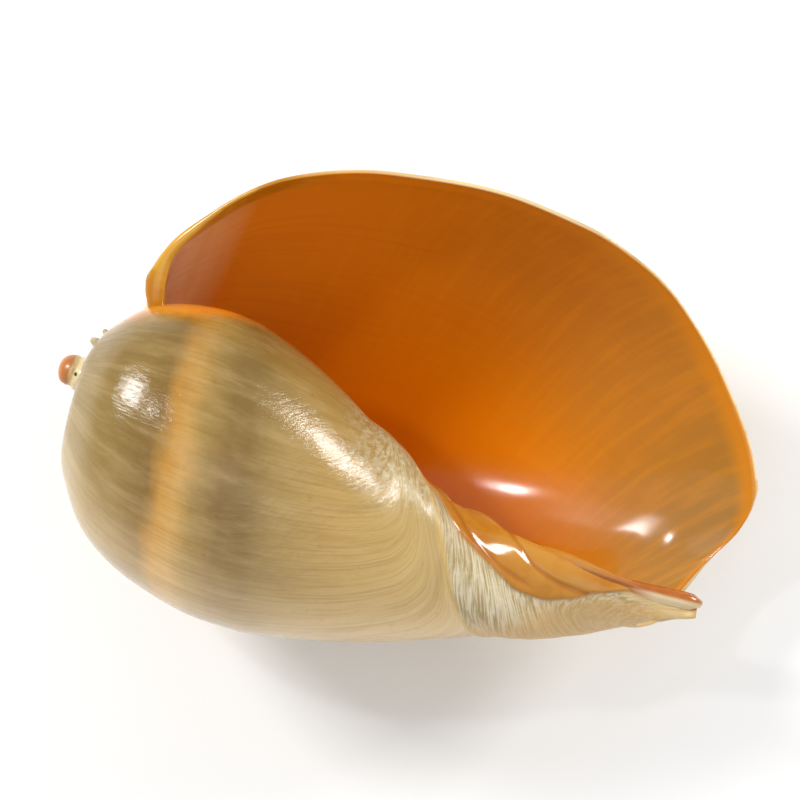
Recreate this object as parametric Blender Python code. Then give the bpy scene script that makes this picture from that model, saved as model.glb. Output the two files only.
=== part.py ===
"""A melon shell, also called a baler shell: one body, wound by one rule about one axis.

Each stage of its growth has the same outline, turned about the axis and larger by a fixed ratio.
The outline is given once, at the size that it has at the outer lip. Sizes here are millimetres.
"""

import bpy
import numpy as np
from math import cos, pi, radians, sin

NODE = "shell"

# how much wider and longer the shell gets in one full turn, and where the modelled tube starts
WIDER_PER_TURN = 2.81
LONGER_PER_TURN = 2.86
OLDEST_TURN_DEG = -990.0

# outline of the outer face at the lip, suture to tip: (depth below the apex, radius from the axis)
OUTLINE = [
    (20.3, 26.5), (17.4, 34.0), (16.6, 42.0), (26.6, 61.0), (43.3, 78.0), (73.0, 91.0), (111.0, 97.0),
    (131.0, 96.0), (152.0, 91.5), (187.0, 81.0), (226.0, 63.5), (246.0, 53.0), (262.0, 48.5),
    (273.0, 42.0), (286.0, 28.0), (310.0, 14.5), (362.0, 3.0),
]
# how far round the edge of the aperture stays behind the lip: (depth in the outline, degrees)
EDGE_LAG = [
    (10.0, 0.0), (130.0, 0.0), (150.0, 3.0), (165.0, 9.0), (180.0, 16.5), (203.0, 27.0), (225.0, 37.5),
    (240.0, 47.5), (247.0, 56.0), (254.0, 69.0), (263.0, 92.0), (275.0, 112.0), (290.0, 138.0),
    (310.0, 163.0), (335.0, 186.0), (362.0, 199.0),
]
# wall at the edge of the aperture: (depth in the outline, thickness)
EDGE_WALL = [(10.0, 3.6), (17.0, 3.4), (32.0, 1.3), (170.0, 1.2), (226.0, 2.4), (262.0, 3.2), (362.0, 3.2)]
WALL = 3.0
EDGE_TAPER_DEG = 9.0
SPIRE_SINK = 6.0                  # the oldest turns lie this much deeper than the rule puts them
SINK_ENDS_DEG = -290.0
SINK_OVER_DEG = 110.0

# columella: a slender core along the axis, with three folds that wind round it
CORE_SLOPE = 0.020                # radius over depth
CORE_TOP = 8.0
CORE_TIP = 203.0
FOLD_AT = [125.0, 144.0, 168.0]   # depth of each fold's crest on the side that faces the viewer
FOLD_HIGH = [2.6, 2.8, 2.4]
FOLD_HALF = 0.05                  # half-width, as a share of the depth
FOLD_REACH = 15.4                 # how far from the axis the folds still show on the wall

FIRST_DOME_R = 5.6
FIRST_DOME_DEPTH = 4.2
SPINES = 11                       # small open spines round the crown of the older turns
SPINE_FIRST_DEG = -368.0
SPINE_STEP_DEG = 31.0
SPINE_HIGH = 5.0

# how the shell lies: slope of the axis in the picture, turn of the lip, and the view's elevation
AXIS_SLOPE_DEG = 20.5
LIP_TURN_DEG = 14.0
LIE_DEG = 84.0
APEX_AT = (-103.9, 11.8, 74.1)
REST_BOX = 160.0

COLS = 34
ROWS_LAST = 38
ROWS_OLD = 18


def eased(x):
    x = np.clip(x, 0.0, 1.0)
    return x * x * (3 - 2 * x)


def through(xs, ys, at):
    """A smooth line through the points, with no overshoot between them."""
    xs, ys = np.asarray(xs, float), np.asarray(ys, float)
    step = np.diff(xs)
    rise = np.diff(ys) / step
    slope = np.zeros(len(xs))
    slope[0], slope[-1] = rise[0], rise[-1]
    for i in range(1, len(xs) - 1):
        before, after = rise[i - 1], rise[i]
        if before * after > 0:
            w1, w2 = 2 * step[i] + step[i - 1], step[i] + 2 * step[i - 1]
            slope[i] = (w1 + w2) / (w1 / before + w2 / after)
    at = np.clip(at, xs[0], xs[-1])
    i = np.clip(np.searchsorted(xs, at) - 1, 0, len(xs) - 2)
    t = (at - xs[i]) / step[i]
    return ((1 + 2 * t) * (1 - t) ** 2 * ys[i] + t * (1 - t) ** 2 * step[i] * slope[i]
            + t * t * (3 - 2 * t) * ys[i + 1] + t * t * (t - 1) * step[i] * slope[i + 1])


GROW_R = np.log(WIDER_PER_TURN) / (2 * pi)
GROW_Z = np.log(LONGER_PER_TURN) / (2 * pi)


def lie_axes():
    """World directions of the axis to the front, of the side that faces the viewer and of the lip's side."""
    slope, lie = radians(AXIS_SLOPE_DEG), radians(LIE_DEG)
    up_in_picture = np.array([0.0, sin(lie), cos(lie)])
    to_viewer = np.array([0.0, -cos(lie), sin(lie)])
    right = np.array([1.0, 0.0, 0.0])
    front = cos(slope) * right - sin(slope) * up_in_picture
    side = sin(slope) * right + cos(slope) * up_in_picture
    return front, to_viewer, side


FRONT, NEAR, SIDE = lie_axes()


def at_turn(radius, depth, turn):
    """World points at a distance from the axis, a depth along it and a turn before or after the lip."""
    angle = turn + radians(LIP_TURN_DEG)
    out = np.cos(angle)[..., None] * SIDE + np.sin(angle)[..., None] * NEAR
    return np.array(APEX_AT) + radius[..., None] * out + depth[..., None] * FRONT


def sink_at(turn):
    return SPIRE_SINK * eased((SINK_ENDS_DEG - np.degrees(turn)) / SINK_OVER_DEG)


def folds(depth, angle):
    """How far the folds stand out; an angle of 0 is the lip's side, and a quarter turn faces the viewer."""
    high = np.zeros(np.broadcast(depth, angle).shape)
    angle = np.mod(angle + pi / 2, 2 * pi) - pi / 2
    for at, top in zip(FOLD_AT, FOLD_HIGH):
        for lap in (-1, 0, 1):
            off = np.log(depth / at) - GROW_Z * (angle - pi / 2 + 2 * pi * lap)
            high = high + top * depth / 150 * np.exp(-(off / FOLD_HALF) ** 2)
    return high


def outline_columns(cols):
    """Depth, radius, lag and edge wall at columns that crowd where the edge swings round."""
    points = np.array(OUTLINE)
    along = np.concatenate([[0], np.cumsum(np.hypot(*np.diff(points, axis=0).T))])
    fine = np.linspace(0, along[-1], 600)
    depth = through(along, points[:, 0], fine)
    lag = through([p[0] for p in EDGE_LAG], [p[1] for p in EDGE_LAG], depth)
    weight = np.gradient(fine) * (1 + 1.2 * eased((25 - fine) / 20)) + 0.55 * np.abs(np.gradient(lag))
    share = np.cumsum(weight) - weight[0]
    at = np.interp(np.linspace(0, share[-1], cols), share, fine)
    depth, radius = through(along, points[:, 0], at), through(along, points[:, 1], at)
    lag = through([p[0] for p in EDGE_LAG], [p[1] for p in EDGE_LAG], depth)
    edge = through([p[0] for p in EDGE_WALL], [p[1] for p in EDGE_WALL], depth)
    return depth, radius, lag, edge, at


def wall_faces(turns, cols):
    """Outer and inner face of the wound wall, as grids of points; turns are degrees before the lip."""
    depth, radius, lag, edge, along = outline_columns(cols)
    ahead_d, ahead_r = np.gradient(depth, along), np.gradient(radius, along)
    size = np.hypot(ahead_d, ahead_r)
    in_d, in_r = ahead_r / size, -ahead_d / size
    turn = np.radians(turns)[:, None] - np.radians(lag)[None, :]
    wide, deep = np.exp(GROW_R * turn), np.exp(GROW_Z * turn)
    taper = eased(-np.asarray(turns) / EDGE_TAPER_DEG)[:, None]
    wall = (edge + (WALL - edge) * taper) * np.exp(0.5 * GROW_R * turn)
    outer_d, outer_r = depth * deep + sink_at(turn), radius * wide
    near_axis = eased((FOLD_REACH - outer_r) / 8) * (turn > radians(-400))
    outer_r = outer_r + near_axis * folds(outer_d, turn + radians(LIP_TURN_DEG))
    inner_d = outer_d + in_d * wall
    inner_r = np.maximum(outer_r + in_r * wall, 0.3)
    return at_turn(outer_r, outer_d, turn), at_turn(inner_r, inner_d, turn)


def make(name, points, faces):
    """A mesh object from millimetre points, its faces turned outwards."""
    points = np.asarray(points, float)
    centre = points.mean(axis=0)
    volume = 0.0
    for face in faces:
        for i in range(1, len(face) - 1):
            a, b, c = points[[face[0], face[i], face[i + 1]]] - centre
            volume += np.dot(a, np.cross(b, c))
    if volume < 0:
        faces = [tuple(reversed(face)) for face in faces]
    mesh = bpy.data.meshes.new(name)
    mesh.from_pydata((points / 1000).tolist(), [], faces)
    mesh.shade_smooth()
    obj = bpy.data.objects.new(name, mesh)
    bpy.context.scene.collection.objects.link(obj)
    return obj


def slab(name, outer, inner):
    """A closed wall between two grids of the same size."""
    rows, cols = outer.shape[:2]
    n = rows * cols
    points = np.concatenate([outer.reshape(-1, 3), inner.reshape(-1, 3)])
    faces = []
    for i in range(rows - 1):
        for j in range(cols - 1):
            a, b = i * cols + j, i * cols + j + 1
            c, d = b + cols, a + cols
            across = np.linalg.norm(points[a] - points[c]) < np.linalg.norm(points[b] - points[d])
            for p, q, r in ((a, b, c), (a, c, d)) if across else ((a, b, d), (b, c, d)):
                faces.append((p, q, r))
                faces.append((n + r, n + q, n + p))
    rim = [j for j in range(cols - 1)] + [i * cols + cols - 1 for i in range(rows - 1)]
    rim += [(rows - 1) * cols + j for j in range(cols - 1, 0, -1)] + [i * cols for i in range(rows - 1, 0, -1)]
    for k, a in enumerate(rim):
        b = rim[(k + 1) % len(rim)]
        faces.append((b, a, n + a, n + b))
    return make(name, points, faces)


def capped_tube(name, grid, start, end):
    """A closed skin over rings of points, each end drawn to a point."""
    rows, cols = grid.shape[:2]
    faces = []
    for i in range(rows - 1):
        for j in range(cols):
            k = (j + 1) % cols
            faces.append((i * cols + j, i * cols + k, (i + 1) * cols + k, (i + 1) * cols + j))
    first, last = rows * cols, rows * cols + 1
    for j in range(cols):
        k = (j + 1) % cols
        faces.append((first, k, j))
        faces.append((last, (rows - 1) * cols + j, (rows - 1) * cols + k))
    return make(name, np.concatenate([grid.reshape(-1, 3), [start, end]]), faces)


def core(rows=30, cols=16):
    depth = np.exp(np.linspace(np.log(CORE_TOP), np.log(CORE_TIP), rows))
    d, a = np.meshgrid(depth, np.linspace(0, 2 * pi, cols, endpoint=False), indexing="ij")
    radius = CORE_SLOPE * d + folds(d, a)
    radius = radius * np.sqrt(np.clip((CORE_TIP + 1 - d) / 22, 0.001, 1))
    grid = at_turn(radius, d, a - radians(LIP_TURN_DEG))
    axis = np.array(APEX_AT)
    return capped_tube("core", grid, axis + FRONT * (CORE_TOP - 1), axis + FRONT * (CORE_TIP + 0.6))


def first_dome(rings=7, sides=14):
    t = np.linspace(0, pi, rings + 1)[1:-1]
    t, p = np.meshgrid(t, np.linspace(0, 2 * pi, sides, endpoint=False), indexing="ij")
    grid = at_turn(FIRST_DOME_R * np.sin(t), FIRST_DOME_DEPTH - FIRST_DOME_R * np.cos(t), p)
    axis = np.array(APEX_AT)
    top = axis + FRONT * (FIRST_DOME_DEPTH - FIRST_DOME_R)
    return capped_tube("first_dome", grid, top, axis + FRONT * (FIRST_DOME_DEPTH + FIRST_DOME_R))


def spine(number, sides=6):
    """One small spine of the crown, a cone that leans out and forwards in growth."""
    turn = radians(SPINE_FIRST_DEG - number * SPINE_STEP_DEG)
    size = np.exp(0.8 * GROW_R * (turn - radians(SPINE_FIRST_DEG)))
    sink = sink_at(turn)
    radius, depth = 43.0 * np.exp(GROW_R * turn), 16.0 * np.exp(GROW_Z * turn) + sink
    base = at_turn(np.array(radius), np.array(depth), np.array(turn))
    angle = turn + radians(LIP_TURN_DEG)
    out = cos(angle) * SIDE + sin(angle) * NEAR
    ahead = -sin(angle) * SIDE + cos(angle) * NEAR
    point = -0.86 * FRONT + 0.5 * out + 0.12 * ahead
    high = SPINE_HIGH * size
    rings = []
    for share, wide in ((-0.35, 1.0), (0.15, 0.86), (0.6, 0.5), (0.9, 0.2)):
        ring = []
        for k in range(sides):
            a = 2 * pi * k / sides
            across = 0.42 * high * wide * cos(a) * ahead + 0.22 * high * wide * sin(a) * out
            ring.append(base + point * high * share + across)
        rings.append(ring)
    grid = np.array(rings)
    return capped_tube(f"spine_{number}", grid, base - 0.4 * high * point, base + high * point)


def joined(obj, name, pieces, operation):
    """Adds a Boolean with the pieces, which are kept out of the render."""
    group = bpy.data.collections.new(name)
    bpy.context.scene.collection.children.link(group)
    for piece in pieces:
        bpy.context.scene.collection.objects.unlink(piece)
        group.objects.link(piece)
        piece.hide_render = True
        piece.display_type = "WIRE"
    step = obj.modifiers.new(name, "BOOLEAN")
    step.operation = operation
    step.solver = "EXACT"
    step.operand_type = "COLLECTION"
    step.collection = group
    step.use_self = True


def rest_cutter():
    """A box whose top is the surface that the shell rests on."""
    half = REST_BOX / 2
    corners = ((-half, -half), (half, -half), (half, half), (-half, half))
    points = [(x, y, z) for z in (-20.0, 0.0) for x, y in corners]
    faces = [(0, 3, 2, 1), (4, 5, 6, 7), (0, 1, 5, 4), (1, 2, 6, 5), (2, 3, 7, 6), (3, 0, 4, 7)]
    return make("rest_cutter", points, faces)


def shell_material():
    material = bpy.data.materials.new("shell")
    material.use_nodes = True
    shader = material.node_tree.nodes["Principled BSDF"]
    shader.inputs["Base Color"].default_value = (0.60, 0.40, 0.20, 1.0)
    shader.inputs["Roughness"].default_value = 0.28
    shader.inputs["Metallic"].default_value = 0.0
    return material


def build():
    for obj in list(bpy.data.objects):
        bpy.data.objects.remove(obj, do_unlink=True)
    turns = np.concatenate([np.linspace(OLDEST_TURN_DEG, -360, ROWS_OLD, endpoint=False),
                            np.linspace(-360, 0, ROWS_LAST + 1)])
    outer, inner = wall_faces(turns, COLS)
    shell = slab(NODE, outer, inner)
    shell.data.materials.append(shell_material())
    grown = [core(), first_dome()] + [spine(k) for k in range(SPINES)]
    joined(shell, "grown_on", grown, "UNION")
    joined(shell, "worn_flat", [rest_cutter()], "DIFFERENCE")
    return shell


build()
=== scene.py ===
import bpy
import mathutils
import numpy as np
from math import cos, pi, radians, sin
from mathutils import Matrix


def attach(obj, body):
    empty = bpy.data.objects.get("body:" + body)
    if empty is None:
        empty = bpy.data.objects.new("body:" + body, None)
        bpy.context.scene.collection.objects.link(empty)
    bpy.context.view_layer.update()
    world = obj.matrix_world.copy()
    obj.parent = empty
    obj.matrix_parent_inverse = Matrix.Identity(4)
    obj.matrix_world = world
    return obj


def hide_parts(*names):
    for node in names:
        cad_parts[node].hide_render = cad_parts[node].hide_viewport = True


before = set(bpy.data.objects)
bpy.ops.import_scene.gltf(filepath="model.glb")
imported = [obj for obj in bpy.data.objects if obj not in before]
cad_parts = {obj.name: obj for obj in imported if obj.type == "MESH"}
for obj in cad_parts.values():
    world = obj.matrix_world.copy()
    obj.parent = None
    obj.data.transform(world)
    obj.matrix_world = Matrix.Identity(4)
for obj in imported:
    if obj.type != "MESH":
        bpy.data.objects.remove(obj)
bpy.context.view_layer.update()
print("frame loaded")


# growth: each stage has the same outline, turned about the axis and larger by a fixed ratio; sizes in millimetres
growth = {
    "widerPerTurn": 2.81,
    "longerPerTurn": 2.86,
    "axisSlope": 20.5,          # degrees, of the axis in the picture
    "lipTurn": 14.0,            # degrees, of the outer lip about the axis
    "lie": 84.0,                # degrees, elevation that the aperture faces
    "apex": (-103.9, 11.8, 74.1),
    "spireSink": 6.0,
    "sinkEnds": -290.0,         # degrees, where the older turns' extra depth ends
    "sinkOver": 110.0,
}
growR = np.log(growth["widerPerTurn"]) / (2 * pi)
growZ = np.log(growth["longerPerTurn"]) / (2 * pi)
apex = np.array(growth["apex"])
upInPicture = np.array([0.0, sin(radians(growth["lie"])), cos(radians(growth["lie"]))])
near = np.array([0.0, -cos(radians(growth["lie"])), sin(radians(growth["lie"]))])
rightWay = np.array([1.0, 0.0, 0.0])
front = cos(radians(growth["axisSlope"])) * rightWay - sin(radians(growth["axisSlope"])) * upInPicture
side = sin(radians(growth["axisSlope"])) * rightWay + cos(radians(growth["axisSlope"])) * upInPicture


def eased(x):
    x = np.clip(x, 0.0, 1.0)
    return x * x * (3 - 2 * x)


def through(points, at):      # a smooth line through the points, with no overshoot between them
    xs, ys = np.array(points, float).T
    step = np.diff(xs)
    rise = np.diff(ys) / step
    slope = np.zeros(len(xs))
    slope[0], slope[-1] = rise[0], rise[-1]
    for i in range(1, len(xs) - 1):
        before, after = rise[i - 1], rise[i]
        if before * after > 0:
            w1, w2 = 2 * step[i] + step[i - 1], step[i] + 2 * step[i - 1]
            slope[i] = (w1 + w2) / (w1 / before + w2 / after)
    at = np.clip(at, xs[0], xs[-1])
    i = np.clip(np.searchsorted(xs, at) - 1, 0, len(xs) - 2)
    t = (at - xs[i]) / step[i]
    return ((1 + 2 * t) * (1 - t) ** 2 * ys[i] + t * (1 - t) ** 2 * step[i] * slope[i]
            + t * t * (3 - 2 * t) * ys[i + 1] + t * t * (t - 1) * step[i] * slope[i + 1])


def atTurn(radius, depth, turn):      # millimetres; a turn in radians before or after the lip
    angle = turn + radians(growth["lipTurn"])
    out = np.cos(angle)[..., None] * side + np.sin(angle)[..., None] * near
    return apex + radius[..., None] * out + depth[..., None] * front


def sinkAt(turn):
    return growth["spireSink"] * eased((growth["sinkEnds"] - np.degrees(turn)) / growth["sinkOver"])


def wander(seed, at, spacing):        # smooth one-line noise from -1 to 1, the same each run
    knots = np.random.default_rng(seed).uniform(-1, 1, 4096)
    where = np.asarray(at) / spacing + 2000
    low = np.floor(where).astype(int)
    share = eased(where - low)
    return knots[low % 4096] * (1 - share) + knots[(low + 1) % 4096] * share


class Wire:      # a value in a node tree: Python's sums and products add Math nodes to it
    def __init__(self, tree, socket):
        self.tree = tree
        self.socket = socket

    def math(self, operation, *others):
        node = self.tree.nodes.new("ShaderNodeMath")
        node.operation = operation
        for k, value in enumerate((self,) + others):
            if isinstance(value, Wire):
                self.tree.links.new(value.socket, node.inputs[k])
            else:
                node.inputs[k].default_value = value
        return Wire(self.tree, node.outputs[0])

    def __add__(self, other):
        return self.math("ADD", other)

    def __sub__(self, other):
        return self.math("SUBTRACT", other)

    def __mul__(self, other):
        return self.math("MULTIPLY", other)

    def __truediv__(self, other):
        return self.math("DIVIDE", other)

    def rsub(self, number):      # number minus this
        return self.math("MULTIPLY", -1.0).math("ADD", number)

    def step(self, low, high):      # 0 below low, 1 above high, smooth between; low may be the larger one
        node = self.tree.nodes.new("ShaderNodeMapRange")
        node.interpolation_type = "SMOOTHSTEP"
        self.tree.links.new(self.socket, node.inputs["Value"])
        node.inputs["From Min"].default_value = min(low, high)
        node.inputs["From Max"].default_value = max(low, high)
        node.inputs["To Min"].default_value = 0.0 if low < high else 1.0
        node.inputs["To Max"].default_value = 1.0 if low < high else 0.0
        return Wire(self.tree, node.outputs["Result"])

    def hump(self, centre, half):      # 1 at the centre, falling off smoothly to 0 on both sides
        return self.step(centre - half, centre) * self.step(centre + half, centre)


def combine(tree, x, y, z):
    node = tree.nodes.new("ShaderNodeCombineXYZ")
    for k, value in enumerate((x, y, z)):
        if isinstance(value, Wire):
            tree.links.new(value.socket, node.inputs[k])
        else:
            node.inputs[k].default_value = value
    return node.outputs[0]


def vectorMath(tree, operation, a, b):
    node = tree.nodes.new("ShaderNodeVectorMath")
    node.operation = operation
    tree.links.new(a, node.inputs[0])
    tree.links.new(b, node.inputs["Scale"] if operation == "SCALE" else node.inputs[1])
    return node.outputs[0]


def meshObject(name, points, faces, marks):
    mesh = bpy.data.meshes.new(name)
    mesh.from_pydata((np.asarray(points, float) / 1000).tolist(), [], faces)
    for mark, values in marks.items():
        values = np.asarray(values, np.float32).ravel()
        mesh.attributes.new(mark, "FLOAT", "POINT").data.foreach_set("value", values)
    mesh.shade_smooth()
    obj = bpy.data.objects.new(name, mesh)
    bpy.context.scene.collection.objects.link(obj)
    return obj


def treeWith(name, sockets):
    tree = bpy.data.node_groups.new(name, "GeometryNodeTree")
    for socketName, kind, value in sockets:
        socket = tree.interface.new_socket(name=socketName, in_out="INPUT", socket_type=kind)
        if value is not None:
            socket.default_value = value
    tree.interface.new_socket(name="Geometry", in_out="OUTPUT", socket_type="NodeSocketGeometry")
    return tree, tree.nodes.new("NodeGroupInput"), tree.nodes.new("NodeGroupOutput")


def throughNodes(obj, tree, values):      # runs a tree on an object and keeps the result as a plain mesh
    modifier = obj.modifiers.new(tree.name, "NODES")
    modifier.node_group = tree
    identifiers = {item.name: item.identifier for item in tree.interface.items_tree
                   if item.item_type == "SOCKET" and item.in_out == "INPUT"}
    for name, value in values.items():
        modifier[identifiers[name]] = value
    bpy.context.view_layer.update()
    graph = bpy.context.evaluated_depsgraph_get()
    evaluated = obj.evaluated_get(graph)
    made = bpy.data.meshes.new_from_object(evaluated, preserve_all_data_layers=True, depsgraph=graph)
    obj.modifiers.remove(modifier)
    obj.data = made
    return obj


def settle(obj):      # what would lie under the surface that the shell rests on is worn flat
    count = len(obj.data.vertices)
    places = np.empty(count * 3, np.float32)
    obj.data.vertices.foreach_get("co", places)
    places[2::3] = np.maximum(places[2::3], 0.0)
    obj.data.vertices.foreach_set("co", places)
    obj.data.update()


def linear(red, green, blue):      # a colour as an eye names it, 0 to 255, in the renderer's own scale
    return tuple(c / 12.92 if c <= 0.04045 else ((c + 0.055) / 1.055) ** 2.4
                 for c in (red / 255, green / 255, blue / 255)) + (1.0,)


def newMaterial(name):
    material = bpy.data.materials.new(name)
    material.use_nodes = True
    return material, material.node_tree, material.node_tree.nodes["Principled BSDF"]


def attributeOf(tree, name):
    node = tree.nodes.new("ShaderNodeAttribute")
    node.attribute_name = name
    return Wire(tree, node.outputs["Fac"])


def objectPlace(tree):
    return tree.nodes.new("ShaderNodeTexCoord").outputs["Object"]


def noise(tree, vector, scale, detail=3.0, roughness=0.55, distortion=0.0):
    node = tree.nodes.new("ShaderNodeTexNoise")
    tree.links.new(vector, node.inputs["Vector"])
    node.inputs["Scale"].default_value = scale
    node.inputs["Detail"].default_value = detail
    node.inputs["Roughness"].default_value = roughness
    node.inputs["Distortion"].default_value = distortion
    return Wire(tree, node.outputs[0])


def mixed(tree, share, a, b, blend="MIX"):      # colours, each a tuple or a socket
    node = tree.nodes.new("ShaderNodeMix")
    node.data_type = "RGBA"
    node.blend_type = blend
    if isinstance(share, Wire):
        tree.links.new(share.socket, node.inputs[0])
    else:
        node.inputs[0].default_value = share
    for value, socket in ((a, node.inputs[6]), (b, node.inputs[7])):
        if isinstance(value, tuple):
            socket.default_value = value
        else:
            tree.links.new(value, socket)
    return node.outputs[2]


def colourRamp(tree, value, stops):      # stops: (value from 0 to 1, colour)
    node = tree.nodes.new("ShaderNodeValToRGB")
    ramp = node.color_ramp
    while len(ramp.elements) < len(stops):
        ramp.elements.new(0.5)
    for element, (place, colour) in zip(ramp.elements, stops):
        element.position = place
        element.color = colour
    tree.links.new(value.socket, node.inputs[0])
    return node.outputs[0]


def bump(tree, height, strength, distance, under=None):
    node = tree.nodes.new("ShaderNodeBump")
    node.inputs["Strength"].default_value = strength
    node.inputs["Distance"].default_value = distance
    tree.links.new(height.socket, node.inputs["Height"])
    if under is not None:
        tree.links.new(under, node.inputs["Normal"])
    return node.outputs[0]


# the columella: a slender core along the axis with three folds, beside a glaze on the wall that ends in lobes
columella = {
    "slope": 0.011,
    "top": 8.0,
    "tip": 203.0,
    # each fold on the lip's side: depth of its crest, height, and half-width as a share of the depth
    "folds": [(115.5, 5.2, 0.040), (133.0, 3.7, 0.042), (159.0, 2.7, 0.075)],
    "foldPitch": 0.06,          # how much deeper a fold gets as it turns, as a share per radian
    # how far it stands off the axis towards the lip, by depth
    "bend": [(8, 0), (112, 0), (128, -1.0), (147, -3.3), (165, -3.0), (185, -1.2), (203, 0.8)],
    "rows": 230,
    "sides": 72,
    # edge of the orange glaze on the viewer's side: depth, and distance from the axis towards the lip
    "glazeEdge": [(108, 8), (117.8, 4), (126.5, -3.5), (134.4, -7.5), (142.4, -11), (150, -14), (156.4, -14),
                  (164.8, -11), (174.2, -6), (185, -0.5), (195.7, 3), (202, 4)],
    "glazeThick": 0.9,
    # the grooves between the lobes of the glaze, by the same two measures
    "grooves": [[(112, 9), (118, 5.5), (125, 1.1), (133, -4.8), (141, -8.3), (150, -10.8), (160, -12)],
                [(136, 5), (146, -1.5), (153, -5.9), (163, -8.0), (175, -6.5), (190, -2)]],
    "grooveDeep": 1.0,
    "grooveHalf": 1.0,
    "tipRadius": 2.7,
    "roughness": 0.2,
    "coat": 0.3,
    "coatRoughness": 0.08,
    "glow": 0.2,                # how far light goes into the glaze, as a share
    "glowReach": (0.004, 0.0015, 0.0005),
}


def folds(depth, angle):      # millimetres that the folds stand out; an angle of 0 is the lip's side
    high = np.zeros(np.broadcast(depth, angle).shape)
    angle = np.mod(angle + pi / 2, 2 * pi) - pi / 2
    shown = eased((angle + pi / 2) / 0.9) * (1 - eased((angle - 0.6) / 1.1)) * eased((196 - depth) / 14)
    for crest, top, half in columella["folds"]:
        for lap in (-1, 0):
            off = np.log(depth / crest) - columella["foldPitch"] * angle - growZ * 2 * pi * lap
            high = high + top * np.exp(growR * 2 * pi * lap) * np.exp(-(off / half) ** 2)
    return high * shown


def lobes(depth, toLip):      # 0 on a lobe of the glaze, 1 at the bottom of a groove
    deep = np.zeros(np.shape(depth))
    for groove in columella["grooves"]:
        off = toLip - through(groove, depth)
        ends = eased((depth - groove[0][0]) / 4) * eased((groove[-1][0] - depth) / 12)
        deep = np.maximum(deep, ends * np.exp(-(off / columella["grooveHalf"]) ** 2))
    return deep


# the wall: its outline at the lip, suture to tip, as depth below the apex and radius from the axis
wall = {
    "outline": [(20.3, 26.5), (17.4, 34), (16.6, 42), (26.6, 61), (43.3, 78), (73, 91), (111, 97),
                (131, 96), (152, 91.5), (187, 81), (226, 63.5), (246, 53), (262, 48.5), (273, 42),
                (286, 28), (310, 14.5), (362, 3)],
    # degrees that the edge stays behind the lip, by depth
    "edgeLag": [(10, 0), (130, 0), (150, 3), (165, 9), (180, 16.5), (203, 27), (225, 37.5), (240, 47),
                (246.5, 53.5), (254, 65), (262, 85), (269, 100), (275.5, 115), (281, 131), (286.5, 144),
                (293, 153), (300, 159), (315, 171), (331, 181), (347, 190), (362, 199)],
    "edgeThick": [(10, 3.6), (17, 3.4), (32, 1.3), (170, 1.2), (226, 2.4), (262, 3.2), (362, 3.2)],
    # how far round a growth line on the outside stays behind the lip's turn, by depth
    "lineLag": [(10, 0), (150, 0), (200, 2), (226, 6), (240, 14), (252, 34), (263, 80), (275, 110), (290, 138),
                (310, 163), (335, 186), (362, 199)],
    "thick": 3.0,
    "edgeTaper": 9.0,           # degrees
    "callusHigh": 2.3,          # thick knob of glaze where the lip meets the turn before it
    "oldest": -990.0,
    "fineFrom": -390.0,
    "rowsOld": 84,
    "rowsFine": 150,
    "rimRows": 5,
    "columns": 196,
    "roughness": 0.13,
    "bandRoughness": 0.36,      # more where the surface is worn
    "specular": 0.42,
    "coat": 0.1,
    "coatRoughness": 0.06,
    "bumpStrength": 0.4,
    "bumpHigh": 0.0005,
}


def outlineColumns(count):
    depthAt, radiusAt = np.array(wall["outline"], float).T
    along = np.concatenate([[0], np.cumsum(np.hypot(np.diff(depthAt), np.diff(radiusAt)))])
    fine = np.linspace(0, along[-1], 2400)
    lag = through(wall["edgeLag"], through(np.c_[along, depthAt], fine))
    weight = np.gradient(fine) * (1 + 1.2 * eased((25 - fine) / 20)) + 0.55 * np.abs(np.gradient(lag))
    share = np.cumsum(weight) - weight[0]
    at = np.interp(np.linspace(0, share[-1], count), share, fine)
    depth, radius = through(np.c_[along, depthAt], at), through(np.c_[along, radiusAt], at)
    return at, depth, radius, through(wall["edgeLag"], depth), through(wall["edgeThick"], depth)


def wallFaces(rows, columns, half):      # one strip over the rim, from the outer face to the inner one
    faces = []
    for r in range(rows - 1):
        for j in range(columns - 1):
            a = r * columns + j
            faces.append((a, a + 1, a + 1 + columns, a + columns))
    for end, turned in ((0, False), (columns - 1, True)):
        for r in range(half - 1):
            mirrorRow = rows - 1 - r
            face = [r, r + 1, mirrorRow - 1, mirrorRow]
            faces.append(tuple(q * columns + end for q in (reversed(face) if turned else face)))
        rim = list(range(half - 1, rows - half + 1))
        faces.append(tuple(q * columns + end for q in (reversed(rim) if turned else rim)))
    last = (rows - 1) * columns
    for j in range(columns - 1):
        faces.append((j + 1, j, last + j, last + j + 1))
    return faces


def bandStart(turnDegrees):      # column where the rough band begins, by turn
    return np.clip(248 - 0.26 * (turnDegrees + 200), 240, 274)


def wallRelief(rowTurn, turnDegrees, depth, radius, glazed):      # millimetres that the outer face stands out
    ridges = 0.6 * wander(5, rowTurn + 1.5 * wander(8, depth, 14), 8.5) + 0.4 * wander(7, rowTurn, 15.0)
    into = depth - bandStart(turnDegrees) + 1.2 * wander(9, rowTurn, 9.0)
    band = eased((into + 1.5) / 5) * eased((330 - depth) / 40) * (1 - glazed) * eased(-rowTurn / 12)
    cord = np.exp(-((into - 1.5) / 2.2) ** 2) * (1 - glazed)
    wrinkles = wander(11, rowTurn + 3 * wander(12, depth, 30), 8.5) + 0.6 * wander(13, rowTurn, 16)
    plain = eased((depth - 24) / 30) * (1 - band) * (1 - glazed)
    callus = eased((15 + rowTurn) / 11) * eased((46 - radius) / 12) * (1 + 0.35 * wander(14, radius, 3.6))
    return (band * (0.5 + 0.35 * ridges) + 0.75 * cord + plain * 0.08 * wrinkles
            + columella["glazeThick"] * glazed * eased(-rowTurn / 20) + wall["callusHigh"] * callus)


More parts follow.
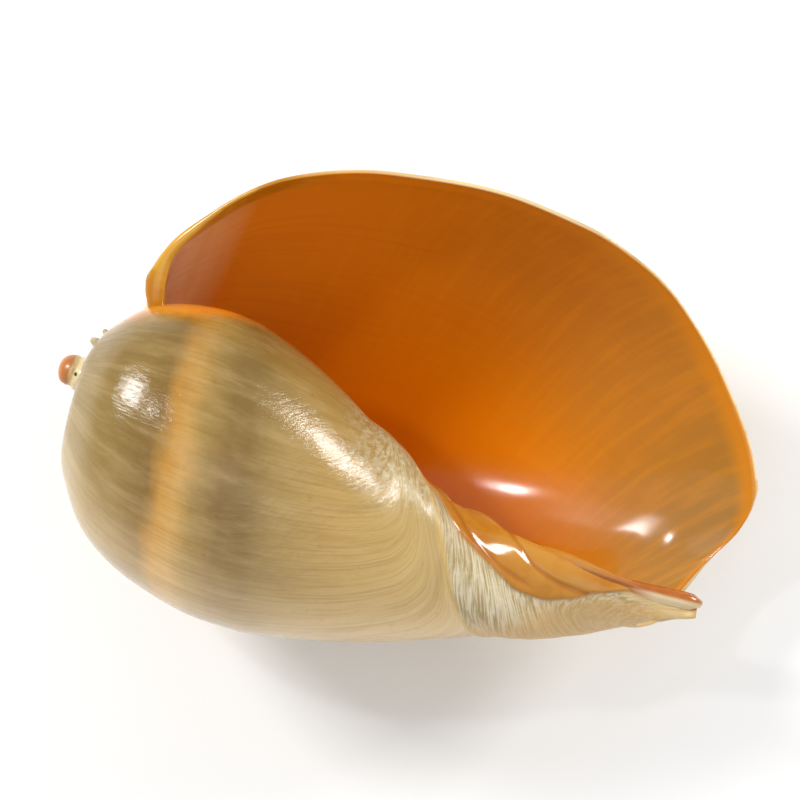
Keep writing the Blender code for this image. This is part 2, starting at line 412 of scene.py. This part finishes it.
def windTree():      # each point goes where the growth rule puts it
    tree, start, end = treeWith("windTheShell", [
        ("Geometry", "NodeSocketGeometry", None),
        ("Wider per turn", "NodeSocketFloat", growth["widerPerTurn"]),
        ("Longer per turn", "NodeSocketFloat", growth["longerPerTurn"]),
        ("Lip turn", "NodeSocketFloat", growth["lipTurn"]),
        ("Spire sink", "NodeSocketFloat", growth["spireSink"]),
        ("Wall thickness", "NodeSocketFloat", wall["thick"]),
        ("Apex", "NodeSocketVector", None),
        ("Front", "NodeSocketVector", None),
        ("Side", "NodeSocketVector", None),
        ("Near", "NodeSocketVector", None),
        ("Material", "NodeSocketMaterial", None)])

    def given(name):
        return Wire(tree, start.outputs[name])

    def stored(name):
        node = tree.nodes.new("GeometryNodeInputNamedAttribute")
        node.data_type = "FLOAT"
        node.inputs["Name"].default_value = name
        return Wire(tree, node.outputs["Attribute"])

    turn = stored("turn")
    perRadianR = given("Wider per turn").math("LOGARITHM", 2.718281828) / (2 * pi)
    perRadianZ = given("Longer per turn").math("LOGARITHM", 2.718281828) / (2 * pi)
    wide, deep = (perRadianR * turn).math("EXPONENT"), (perRadianZ * turn).math("EXPONENT")
    sinkEnd, sinkStart = radians(growth["sinkEnds"]), radians(growth["sinkEnds"] - growth["sinkOver"])
    sink = given("Spire sink") * turn.step(sinkEnd, sinkStart)
    edge = stored("edgeThick")
    thick = edge + (given("Wall thickness") - edge) * stored("taper")
    thick = thick * (perRadianR * turn * 0.5).math("EXPONENT")
    inward = thick * stored("across") - stored("relief") * wide.math("POWER", 0.5)
    radius = (stored("radius") * wide + stored("inR") * inward).math("MAXIMUM", 0.3)
    depth = stored("depth") * deep + sink + stored("inD") * inward
    ahead = (stored("nudge") * thick * 0.5 / radius).math("MINIMUM", 0.3)
    angle = turn + ahead + given("Lip turn").math("RADIANS")
    sideWay = vectorMath(tree, "SCALE", given("Side").socket, (radius * angle.math("COSINE")).socket)
    nearWay = vectorMath(tree, "SCALE", given("Near").socket, (radius * angle.math("SINE")).socket)
    frontWay = vectorMath(tree, "SCALE", given("Front").socket, depth.socket)
    place = vectorMath(tree, "ADD", vectorMath(tree, "ADD", sideWay, nearWay), frontWay)
    place = vectorMath(tree, "ADD", place, given("Apex").socket)
    metres = tree.nodes.new("ShaderNodeVectorMath")
    metres.operation = "SCALE"
    metres.inputs["Scale"].default_value = 0.001
    tree.links.new(place, metres.inputs[0])
    moved = tree.nodes.new("GeometryNodeSetPosition")
    tree.links.new(start.outputs["Geometry"], moved.inputs["Geometry"])
    tree.links.new(metres.outputs[0], moved.inputs["Position"])
    whole = tree.nodes.new("GeometryNodeRealizeInstances")
    tree.links.new(moved.outputs[0], whole.inputs[0])
    dressed = tree.nodes.new("GeometryNodeSetMaterial")
    tree.links.new(whole.outputs[0], dressed.inputs["Geometry"])
    tree.links.new(start.outputs["Material"], dressed.inputs["Material"])
    tree.links.new(dressed.outputs[0], end.inputs[0])
    return tree


def buildWall(material):
    at, depth, radius, lag, edgeThick = outlineColumns(wall["columns"])
    slopeD, slopeR = np.gradient(depth, at), np.gradient(radius, at)
    size = np.hypot(slopeD, slopeR)
    rowTurns = np.concatenate([np.linspace(wall["oldest"], wall["fineFrom"], wall["rowsOld"], endpoint=False),
                               np.linspace(wall["fineFrom"], 0, wall["rowsFine"])])
    half, rim = len(rowTurns), wall["rimRows"]
    arc = np.linspace(0, pi, rim + 2)[1:-1]
    rowTurn = np.concatenate([rowTurns, np.zeros(rim), rowTurns[::-1]])
    across = np.concatenate([np.zeros(half), (1 - np.cos(arc)) / 2, np.ones(half)])
    nudge = np.concatenate([np.zeros(half), np.sin(arc), np.zeros(half)])
    rows, columns = len(rowTurn), wall["columns"]
    turnDegrees = rowTurn[:, None] - lag[None, :]

    def spread(values, down=True):
        values = np.asarray(values, float)
        return np.repeat(values[:, None], columns, axis=1) if down else np.repeat(values[None, :], rows, axis=0)

    turn = np.radians(turnDegrees)
    outerD = depth * np.exp(growZ * turn) + sinkAt(turn)
    outerR = radius * np.exp(growR * turn)
    angle = turn + radians(growth["lipTurn"])
    toLip, toViewer = outerR * np.cos(angle), outerR * np.sin(angle)
    groove = lobes(outerD, toLip) * eased(toViewer / 3 + 1)
    above = toLip - through(columella["glazeEdge"], outerD)
    nearAxis = eased((outerD - 108) / 8) * eased((26 - outerR) / 5) * eased(toViewer / 3 + 1.5)
    atCore = eased((4 - outerR) / 2) * eased((outerD - 112) / 8) * (above > -4)
    glazed = np.maximum(eased(above / 1.4 + 0.5) * nearAxis, atCore) * (turnDegrees > -420)
    rolled = glazed * np.exp(-((above - 1.6) / 1.4) ** 2) * (turnDegrees > -420)
    relief = (wallRelief(spread(rowTurn), turnDegrees, spread(depth, False), spread(radius, False), glazed)
              + 0.7 * rolled - columella["grooveDeep"] * groove * glazed)

    marks = {
        "turn": np.radians(turnDegrees), "depth": spread(depth, False), "radius": spread(radius, False),
        "inD": spread(slopeR / size, False), "inR": spread(-slopeD / size, False),
        "edgeThick": spread(edgeThick, False), "taper": spread(eased(-rowTurn / wall["edgeTaper"])),
        "across": spread(across), "nudge": spread(nudge),
        "relief": relief * (1 - spread(across)), "groove": groove * glazed,
        "glazed": glazed, "intoBand": spread(depth, False) - bandStart(turnDegrees),
        "growthTurn": turnDegrees, "fromEdge": spread(-rowTurn),
        "lineTurn": turnDegrees + through(wall["lineLag"], depth)[None, :],
    }
    obj = meshObject("shellWall", np.zeros((rows * columns, 3)), wallFaces(rows, columns, half), marks)
    throughNodes(obj, windTree(), {
        "Wider per turn": growth["widerPerTurn"], "Longer per turn": growth["longerPerTurn"],
        "Lip turn": growth["lipTurn"], "Spire sink": growth["spireSink"], "Wall thickness": wall["thick"],
        "Apex": tuple(apex), "Front": tuple(front), "Side": tuple(side), "Near": tuple(near),
        "Material": material})
    for mark in ("turn", "inD", "inR", "edgeThick", "taper", "nudge", "relief"):
        obj.data.attributes.remove(obj.data.attributes[mark])
    return obj


def wallMaterial():
    material, tree, shader = newMaterial("shellWallSurface")
    turn, depth = attributeOf(tree, "growthTurn"), attributeOf(tree, "depth")
    across, fromEdge = attributeOf(tree, "across"), attributeOf(tree, "fromEdge")
    glazed, groove = attributeOf(tree, "glazed"), attributeOf(tree, "groove")
    intoBand = attributeOf(tree, "intoBand")
    lineTurn, outlineRadius = attributeOf(tree, "lineTurn"), attributeOf(tree, "radius")
    place = objectPlace(tree)
    lines = noise(tree, combine(tree, lineTurn * 0.8, depth * 0.012, 0.0), 1.0, 5.0, 0.65)
    broad = noise(tree, combine(tree, lineTurn * 0.05, depth * 0.03, 3.0), 1.0, 3.0, 0.5)
    flecks = noise(tree, combine(tree, lineTurn * 0.25, depth * 0.16, 7.0), 1.0, 4.0, 0.6)
    cloudy = noise(tree, place, 60.0, 4.0, 0.6)
    grain = noise(tree, place, 420.0, 5.0, 0.7)

    # outside: tan-cream with darker spiral bands, an orange line and growth lines
    bandAt = (depth + (broad - 0.5) * 16.0 + (flecks - 0.5) * 6.0) / 300.0
    outside = colourRamp(tree, bandAt, [
        (0.04, linear(172, 152, 104)), (0.13, linear(150, 126, 72)), (0.20, linear(142, 116, 60)),
        (0.265, linear(130, 98, 44)), (0.30, linear(214, 156, 66)), (0.33, linear(218, 170, 94)),
        (0.37, linear(174, 144, 82)), (0.425, linear(130, 102, 52)), (0.47, linear(136, 110, 60)),
        (0.53, linear(174, 146, 90)), (0.66, linear(208, 172, 106)), (0.80, linear(214, 182, 118)),
        (0.90, linear(208, 180, 124)), (1.0, linear(204, 174, 116))])
    newer = turn.step(-262, -196)
    outside = mixed(tree, newer * 0.55, outside, linear(240, 206, 148))
    older = turn.step(-215, -345)
    outside = mixed(tree, older * 0.5, outside, linear(142, 120, 64))
    patches = noise(tree, combine(tree, lineTurn * 0.16, depth * 0.02, 20.0), 1.0, 4.0, 0.6)
    outside = mixed(tree, patches.step(0.42, 0.80) * 0.34, outside, linear(214, 188, 142))
    outside = mixed(tree, patches.step(0.56, 0.22) * 0.26, outside, linear(136, 100, 46))
    outside = mixed(tree, lines.step(0.46, 0.66) * 0.26, outside, linear(132, 98, 50))
    outside = mixed(tree, flecks.step(0.58, 0.76) * 0.30, outside, linear(150, 106, 48))
    outside = mixed(tree, cloudy.step(0.48, 0.75) * 0.12, outside, linear(216, 190, 140))
    inBand = intoBand.step(-2, 3) * depth.step(345, 325)
    crescents = noise(tree, combine(tree, fromEdge * 0.42, depth * 0.10, 2.0), 1.0, 4.0, 0.62, 0.5)
    chalk = mixed(tree, crescents.step(0.38, 0.62), linear(168, 144, 92), linear(226, 214, 184))
    chalk = mixed(tree, grain.step(0.5, 0.7) * 0.35, chalk, linear(236, 228, 206))
    chalk = mixed(tree, turn.step(-215, -185) * 0.75, chalk, linear(210, 164, 92))
    outside = mixed(tree, inBand * 0.9, outside, chalk)
    outside = mixed(tree, intoBand.hump(1.0, 3.0) * 0.7, outside, linear(214, 176, 100))
    # whitish scuffs on the shoulder, partly real wear and partly a painted highlight spread wider and paler where
    # the light's reflection falls
    scuffsAndPaintedHighlight = intoBand.step(-74, -26) * inBand.rsub(1.0) * turn.step(-266, -300)
    outside = mixed(tree, scuffsAndPaintedHighlight * flecks.step(0.44, 0.56) * 0.55, outside, linear(222, 216, 190))
    outside = mixed(tree, scuffsAndPaintedHighlight * grain.step(0.5, 0.62) * 0.5, outside, linear(236, 232, 212))

    # inside: orange glaze, brightest low in the aperture, browner towards the lip, paler near the suture, where
    # the pale cream is partly the shell's own and partly painted light that lifts a corner lying in shade
    inside = colourRamp(tree, depth / 300.0, [
        (0.05, linear(255, 236, 200)), (0.085, linear(250, 212, 150)), (0.125, linear(236, 150, 36)),
        (0.30, linear(226, 134, 12)), (0.50, linear(222, 128, 2)), (0.66, linear(220, 130, 4)),
        (0.80, linear(178, 116, 28)), (1.0, linear(180, 120, 42))])
    streaks = noise(tree, combine(tree, fromEdge * 0.04, depth * 0.30, 11.0), 1.0, 3.0, 0.5)
    towardsLip = fromEdge.step(95, 8) * depth.step(50, 190) * 0.55
    inside = mixed(tree, towardsLip, inside, linear(158, 122, 64))
    inside = mixed(tree, streaks.step(0.42, 0.70) * 0.22, inside, linear(236, 152, 34))
    inside = mixed(tree, lines.step(0.45, 0.68) * 0.14, inside, linear(184, 104, 14))
    deepGlow = fromEdge.step(40, 90) * depth.step(60, 120)
    inside = mixed(tree, deepGlow * 0.75, inside, linear(252, 140, 0))
    rimGlow = fromEdge.step(7, 1) * depth.step(70, 150)
    inside = mixed(tree, rimGlow * 0.7, inside, linear(224, 140, 34))
    callus = fromEdge.step(16, 7) * depth.step(62, 40)
    callusColour = mixed(tree, cloudy.step(0.4, 0.6), linear(178, 116, 12), linear(202, 148, 46))
    inside = mixed(tree, callus, inside, callusColour)
    folded = mixed(tree, cloudy.step(0.35, 0.65), linear(174, 108, 24), linear(186, 128, 46))
    # painted shade: the grooves between the lobes of the glaze are coloured darker
    folded = mixed(tree, groove.step(0.3, 1.0) * 0.6, folded, linear(160, 86, 14))
    glazeEdge = turn + (broad - 0.5) * 14.0 + (flecks - 0.5) * 8.0 + depth.step(150, 60) * -28.0
    crownward = outlineRadius.step(54, 46) * depth.step(30, 22)
    covered = glazeEdge.step(-352, -376) * crownward.rsub(1.0)
    deeper = mixed(tree, 1.0, outside, (0.72, 0.67, 0.55, 1.0), "MULTIPLY")
    outside = mixed(tree, turn.step(-200, -330), outside, deeper)
    outside = mixed(tree, crownward * turn.step(-300, -345), outside,
                    mixed(tree, cloudy.step(0.4, 0.6), linear(206, 186, 144), linear(228, 214, 182)))
    outside = mixed(tree, covered, outside, mixed(tree, depth.step(120, 30) * 0.6, inside, linear(190, 128, 44)))
    outside = mixed(tree, callus, outside, callusColour)
    outside = mixed(tree, glazed, outside, folded)
    thinRim = fromEdge.step(1.2, 0.2) * across.step(0.05, 0.5) * depth.step(60, 90) * depth.step(150, 120)
    colour = mixed(tree, across.step(0.3, 0.7), outside, inside)
    colour = mixed(tree, thinRim * 0.6, colour, linear(232, 214, 170))
    tree.links.new(colour, shader.inputs["Base Color"])

    smooth = covered.math("MAXIMUM", glazed).math("MAXIMUM", across.step(0.3, 0.7)).math("MAXIMUM", callus)
    bare = smooth.rsub(1.0)
    rough = (inBand + scuffsAndPaintedHighlight * 0.4).math("MINIMUM", 1.0) * bare
    roughness = rough * wall["bandRoughness"] + bare * (cloudy - 0.35) * 0.10 + wall["roughness"]
    tree.links.new(roughness.socket, shader.inputs["Roughness"])
    shader.inputs["Specular IOR Level"].default_value = wall["specular"]
    shader.inputs["Coat Weight"].default_value = wall["coat"]
    shader.inputs["Coat Roughness"].default_value = wall["coatRoughness"]
    fineLines = noise(tree, combine(tree, fromEdge * 2.6, depth * 0.03, 0.0), 1.0, 3.0, 0.6)
    chatter = noise(tree, combine(tree, fromEdge * 0.35, depth * 0.10, 5.0), 1.0, 2.0, 0.5)
    height = fineLines * (bare * 0.22 + 0.03) + chatter * bare * 0.9
    height = height + grain * rough * 0.9 + crescents * rough * 2.2
    tree.links.new(bump(tree, height, wall["bumpStrength"], wall["bumpHigh"]), shader.inputs["Normal"])
    return material


def tubeFaces(rows, columns):      # a skin over rings, each end drawn to a point
    faces = []
    for r in range(rows - 1):
        for j in range(columns):
            k = (j + 1) % columns
            faces.append((r * columns + j, r * columns + k, (r + 1) * columns + k, (r + 1) * columns + j))
    first, last = rows * columns, rows * columns + 1
    for j in range(columns):
        k = (j + 1) % columns
        faces.append((first, k, j))
        faces.append((last, (rows - 1) * columns + j, (rows - 1) * columns + k))
    return faces


def turnedOut(points, faces):      # faces in the order that points them outwards
    points = np.asarray(points, float)
    centre = points.mean(axis=0)
    volume = 0.0
    for face in faces:
        for i in range(1, len(face) - 1):
            a, b, c = points[[face[0], face[i], face[i + 1]]] - centre
            volume += np.dot(a, np.cross(b, c))
    return [tuple(reversed(face)) for face in faces] if volume < 0 else faces


def buildColumella(material):
    part = columella
    depth = np.exp(np.linspace(np.log(part["top"]), np.log(part["tip"]), part["rows"]))
    d, a = np.meshgrid(depth, np.linspace(0, 2 * pi, part["sides"], endpoint=False), indexing="ij")
    endward = eased((d - 178) / 18)
    radius = (part["slope"] * d + folds(d, a)) * (1 - endward) + part["tipRadius"] * endward
    radius = radius * np.sqrt(np.clip((part["tip"] + 0.6 - d) / 4, 0.001, 1))
    bend = through(part["bend"], d)[..., None] * side
    grid = (atTurn(radius, d, a - radians(growth["lipTurn"])) + bend).reshape(-1, 3)
    ends = [apex + front * (q + step) + through(part["bend"], q) * side
            for q, step in ((part["top"], -1), (part["tip"], 0.5))]
    points = np.concatenate([grid, ends])
    faces = turnedOut(points, tubeFaces(part["rows"], part["sides"]))
    marks = {"crest": np.append(np.clip(folds(d, a) / 3, 0, 1).ravel(), [0, 0]),
             "toLip": np.append((radius * np.cos(a)).ravel(), [0, 0]),
             "depth": np.append(d.ravel(), [part["top"], part["tip"]])}
    obj = meshObject("columella", points, faces, marks)
    obj.data.materials.append(material)
    return obj


def columellaMaterial():
    material, tree, shader = newMaterial("columellaGlaze")
    crest, depth, toLip = attributeOf(tree, "crest"), attributeOf(tree, "depth"), attributeOf(tree, "toLip")
    place = objectPlace(tree)
    mottle = noise(tree, place, 130.0, 4.0, 0.6)
    # painted light: the fold crests are coloured lighter and the glaze between them darker
    colour = mixed(tree, crest.step(0.1, 0.9), linear(164, 86, 14), linear(182, 122, 44))
    colour = mixed(tree, mottle.step(0.4, 0.7) * 0.3, colour, linear(196, 140, 66))
    chalky = toLip.step(0.8, -0.6) * depth.step(180, 190)
    colour = mixed(tree, chalky, colour, linear(212, 190, 150))
    tree.links.new(colour, shader.inputs["Base Color"])
    shader.inputs["Roughness"].default_value = columella["roughness"]
    shader.inputs["Coat Weight"].default_value = columella["coat"]
    shader.inputs["Coat Roughness"].default_value = columella["coatRoughness"]
    shader.inputs["Subsurface Weight"].default_value = columella["glow"]
    shader.inputs["Subsurface Radius"].default_value = columella["glowReach"]
    tree.links.new(bump(tree, mottle, 0.12, 0.0006), shader.inputs["Normal"])
    return material


# the first dome and the small spines round the crown of the older turns
crown = {
    # the first dome, in profile down the axis: depth, radius
    "domeProfile": [(-1.4, 0.0), (-1.2, 1.5), (-0.6, 2.9), (0.4, 4.0), (1.6, 4.6), (2.9, 4.8), (3.5, 4.65),
                    (4.1, 4.75), (5.0, 5.3), (6.6, 5.8), (8.6, 6.2), (11.0, 6.0), (12.6, 4.0), (13.0, 0.0)],
    "domeShift": (0.0, 0.8),    # along the axis and towards the lip's side
    "domeRings": 64,
    "domeSides": 64,
    "domeRoughness": 0.32,
    "domeCoat": 0.2,
    "domeTwist": 0.5,          # millimetres that its groove drops in one turn
    "pit": (4.6, 100.0),       # depth and angle of the small pit, painted dark as its shade
    "spines": 13,
    "firstSpine": -325.0,      # degrees before the lip
    "spineStep": 27.0,
    "spineHigh": 1.7,
    "spineWidth": 1.1,
    "spineRoughness": 0.45,
    "spineRadius": 43.0,       # where they stand in the outline at the lip
    "spineDepth": 16.0,
}


def buildDome(material):
    profile = np.array(crown["domeProfile"], float)
    along = np.concatenate([[0], np.cumsum(np.hypot(*np.diff(profile, axis=0).T))])
    at = np.linspace(0, along[-1], crown["domeRings"] + 2)[1:-1]
    depth, radius = through(np.c_[along, profile[:, 0]], at), through(np.c_[along, profile[:, 1]], at)
    angles = np.linspace(0, 2 * pi, crown["domeSides"], endpoint=False)
    d, a = np.meshgrid(depth, angles, indexing="ij")
    r = np.repeat(radius[:, None], crown["domeSides"], axis=1) * (1 + 0.03 * np.cos(a - 2.2))
    middle = eased((d + 1.4) / 3) * eased((12.5 - d) / 3)
    d = d + crown["domeTwist"] * np.cos(a - 0.6) * middle
    r = r + 0.12 * wander(21, np.degrees(a), 24) * middle * eased((d - 3.5) / 1.5)
    pitDepth, pitAngle = crown["pit"]
    pit = np.exp(-((d - pitDepth) / 0.55) ** 2 - ((a - radians(pitAngle)) / 0.12) ** 2)
    down, across = crown["domeShift"]
    grid = atTurn(r - 0.4 * pit, d + down, a - radians(growth["lipTurn"])) + across * side
    ends = [apex + front * (q + down) + across * side for q in profile[[0, -1], 0]]
    points = np.concatenate([grid.reshape(-1, 3), ends])
    marks = {"down": np.append(d.ravel(), [profile[0, 0], profile[-1, 0]]), "pit": np.append(pit.ravel(), [0, 0])}
    faces = turnedOut(points, tubeFaces(crown["domeRings"], crown["domeSides"]))
    obj = meshObject("firstDome", points, faces, marks)
    obj.data.materials.append(material)
    return obj


def domeMaterial():
    material, tree, shader = newMaterial("firstDomeSurface")
    down, pit = attributeOf(tree, "down"), attributeOf(tree, "pit")
    mottle = noise(tree, objectPlace(tree), 330.0, 4.0, 0.6)
    colour = colourRamp(tree, (down + (mottle - 0.5) * 2.2 + 2.0) / 15.0, [
        (0.0, linear(196, 128, 56)), (0.16, linear(178, 104, 38)), (0.30, linear(168, 108, 50)),
        (0.36, linear(206, 176, 122)), (0.44, linear(214, 196, 150)), (0.60, linear(206, 186, 140)),
        (1.0, linear(190, 160, 104))])
    colour = mixed(tree, mottle.step(0.58, 0.68) * down.step(2.5, 4.0) * 0.6, colour, linear(156, 112, 52))
    # painted shade: the small pit is coloured nearly black
    colour = mixed(tree, pit.step(0.25, 0.6), colour, linear(52, 32, 14))
    tree.links.new(colour, shader.inputs["Base Color"])
    shader.inputs["Roughness"].default_value = crown["domeRoughness"]
    shader.inputs["Coat Weight"].default_value = crown["domeCoat"]
    tree.links.new(bump(tree, mottle, 0.2, 0.0003), shader.inputs["Normal"])
    return material


def spineTree():      # one cone for each step back along the crown, smaller with each
    tree, start, end = treeWith("crownSpines", [
        ("Geometry", "NodeSocketGeometry", None),
        ("Height", "NodeSocketFloat", crown["spineHigh"]),
        ("Width", "NodeSocketFloat", crown["spineWidth"]),
        ("Material", "NodeSocketMaterial", None)])
    cone = tree.nodes.new("GeometryNodeMeshCone")
    cone.inputs["Vertices"].default_value = 14
    cone.inputs["Side Segments"].default_value = 6
    cone.inputs["Radius Top"].default_value = 0.42
    cone.inputs["Radius Bottom"].default_value = 1.0
    cone.inputs["Depth"].default_value = 1.0
    widths = tree.nodes.new("ShaderNodeCombineXYZ")
    for k, factor in ((0, 1.0), (1, 0.75)):
        wide = Wire(tree, start.outputs["Width"]) * factor
        tree.links.new(wide.socket, widths.inputs[k])
    widths.inputs[2].default_value = 1.3
    shaped = tree.nodes.new("GeometryNodeTransform")
    tree.links.new(cone.outputs["Mesh"], shaped.inputs["Geometry"])
    tree.links.new(widths.outputs[0], shaped.inputs["Scale"])
    smooth = tree.nodes.new("GeometryNodeSetShadeSmooth")
    tree.links.new(shaped.outputs[0], smooth.inputs[0])

    def stored(name, kind):
        node = tree.nodes.new("GeometryNodeInputNamedAttribute")
        node.data_type = kind
        node.inputs["Name"].default_value = name
        return node.outputs["Attribute"]

    pointing = tree.nodes.new("FunctionNodeAlignRotationToVector")
    pointing.axis = "Z"
    tree.links.new(stored("pointing", "FLOAT_VECTOR"), pointing.inputs["Vector"])
    turned = tree.nodes.new("FunctionNodeAlignRotationToVector")
    turned.axis = "X"
    turned.pivot_axis = "Z"
    tree.links.new(pointing.outputs[0], turned.inputs["Rotation"])
    tree.links.new(stored("ahead", "FLOAT_VECTOR"), turned.inputs["Vector"])
    size = Wire(tree, stored("size", "FLOAT")) * Wire(tree, start.outputs["Height"]) * 0.001
    standing = tree.nodes.new("GeometryNodeInstanceOnPoints")
    tree.links.new(start.outputs["Geometry"], standing.inputs["Points"])
    tree.links.new(smooth.outputs[0], standing.inputs["Instance"])
    tree.links.new(turned.outputs[0], standing.inputs["Rotation"])
    tree.links.new(size.socket, standing.inputs["Scale"])
    whole = tree.nodes.new("GeometryNodeRealizeInstances")
    tree.links.new(standing.outputs[0], whole.inputs[0])
    dressed = tree.nodes.new("GeometryNodeSetMaterial")
    tree.links.new(whole.outputs[0], dressed.inputs["Geometry"])
    tree.links.new(start.outputs["Material"], dressed.inputs["Material"])
    tree.links.new(dressed.outputs[0], end.inputs[0])
    return tree


def buildSpines(material):
    turn = np.radians(crown["firstSpine"] - np.arange(crown["spines"]) * crown["spineStep"])
    size = np.exp(0.8 * growR * (turn - radians(crown["firstSpine"])))
    base = atTurn(crown["spineRadius"] * np.exp(growR * turn),
                  crown["spineDepth"] * np.exp(growZ * turn) + sinkAt(turn), turn)
    angle = (turn + radians(growth["lipTurn"]))[:, None]
    out = np.cos(angle) * side + np.sin(angle) * near
    ahead = -np.sin(angle) * side + np.cos(angle) * near
    pointing = -0.86 * front + 0.5 * out + 0.12 * ahead
    foot = base - 0.3 * pointing * size[:, None] * crown["spineHigh"]      # a little way into the crown
    obj = meshObject("crownSpines", foot, [], {"size": size})
    for mark, values in (("pointing", pointing), ("ahead", ahead)):
        obj.data.attributes.new(mark, "FLOAT_VECTOR", "POINT").data.foreach_set("vector", values.ravel())
    values = {"Height": crown["spineHigh"], "Width": crown["spineWidth"], "Material": material}
    return throughNodes(obj, spineTree(), values)


def spineMaterial():
    material, tree, shader = newMaterial("spineSurface")
    mottle = noise(tree, objectPlace(tree), 300.0, 3.0, 0.6)
    colour = mixed(tree, mottle.step(0.35, 0.65), linear(196, 186, 160), linear(170, 148, 108))
    tree.links.new(colour, shader.inputs["Base Color"])
    shader.inputs["Roughness"].default_value = crown["spineRoughness"]
    tree.links.new(bump(tree, mottle, 0.2, 0.0003), shader.inputs["Normal"])
    return material


print("winding the wall")
shellWall = buildWall(wallMaterial())
print("columella and crown")
core = buildColumella(columellaMaterial())
dome = buildDome(domeMaterial())
spines = buildSpines(spineMaterial())
pieces = [shellWall, core, dome, spines]
for piece in pieces:
    settle(piece)
    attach(piece, "root")
    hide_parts("shell")


# the surroundings: a pale floor, soft lights and the photograph's viewpoint
studio = {
    "floorHalf": 3.0,
    "floorColour": (0.88, 0.88, 0.88, 1.0),
    "floorRoughness": 0.6,
    "worldColour": (1.0, 1.0, 1.0, 1.0),
    "worldStrength": 0.57,
    # name, compass turn and height of the direction that it shines from, distance, width, height, power
    "lights": [
        ("leftSoftbox", 149.0, 38.0, 1.2, 0.30, 0.27, 9.0),
        ("smallLamp", 153.0, 57.0, 1.3, 0.07, 0.07, 1.5),
        ("rightSoftbox", 28.0, 24.0, 1.2, 0.34, 0.26, 9.0),
        ("viewerFill", -100.0, 66.0, 1.8, 1.6, 1.2, 5.0),
    ],
    "aim": (0.0, 0.0, 0.05),
    "eye": (-0.0033, -0.0915, 0.9682),
    "tilt": 6.0,
    "lens": 135.7,
    "sensor": 36.0,
    "clipEnd": 20.0,
}


def buildStudio():
    half = studio["floorHalf"] * 1000
    corners = [(-half, -half, 0), (half, -half, 0), (half, half, 0), (-half, half, 0)]
    floor = meshObject("floor", corners, [(0, 1, 2, 3)], {})
    material, _, shader = newMaterial("paleFloor")
    shader.inputs["Base Color"].default_value = studio["floorColour"]
    shader.inputs["Roughness"].default_value = studio["floorRoughness"]
    floor.data.materials.append(material)
    world = bpy.data.worlds.new("softSurround")
    world.use_nodes = True
    world.node_tree.nodes["Background"].inputs["Color"].default_value = studio["worldColour"]
    world.node_tree.nodes["Background"].inputs["Strength"].default_value = studio["worldStrength"]
    bpy.context.scene.world = world
    aim = np.array(studio["aim"])
    for name, compass, high, away, width, height, power in studio["lights"]:
        data = bpy.data.lights.new(name, "AREA")
        data.shape = "RECTANGLE"
        data.size, data.size_y, data.energy = width, height, power
        lamp = bpy.data.objects.new(name, data)
        way = -np.array([cos(radians(high)) * cos(radians(compass)), cos(radians(high)) * sin(radians(compass)),
                         sin(radians(high))])
        lamp.location = aim - away * way
        lamp.rotation_euler = mathutils.Vector(way).to_track_quat("-Z", "Y").to_euler()
        bpy.context.scene.collection.objects.link(lamp)
    data = bpy.data.cameras.new("camera")
    data.lens, data.sensor_width, data.clip_end = studio["lens"], studio["sensor"], studio["clipEnd"]
    camera = bpy.data.objects.new("camera", data)
    camera.location = studio["eye"]
    camera.rotation_euler = (radians(studio["tilt"]), 0.0, 0.0)
    bpy.context.scene.collection.objects.link(camera)
    bpy.context.scene.camera = camera
    bpy.context.scene.view_settings.view_transform = "Standard"


print("studio")
buildStudio()
